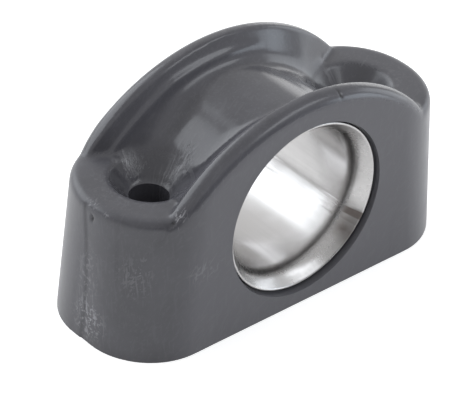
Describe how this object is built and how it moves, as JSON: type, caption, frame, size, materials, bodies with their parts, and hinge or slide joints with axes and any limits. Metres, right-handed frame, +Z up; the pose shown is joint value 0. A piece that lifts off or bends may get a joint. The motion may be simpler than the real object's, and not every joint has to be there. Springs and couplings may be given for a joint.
{
  "type": "rope fairlead eye",
  "caption": "Low arched block that bolts to a deck, with a lined round eye that guides a rope and a saddle over its top.",
  "frame": {"origin": "middle of the base, at deck level", "axes": "+Z up off the deck, +X along the long side through both bolt holes, +Y along the eye, the way the rope runs"},
  "size_m": [0.0686, 0.0276, 0.0379],
  "materials": {
    "moulded_body": "satin, dark grey moulded nylon",
    "eye_liner": "rolled stainless sheet, polished at the flares"
  },
  "bodies": {
    "root": {"moulded_body": "moulded_body", "eye_liner": "eye_liner"}
  },
  "joints": []
}
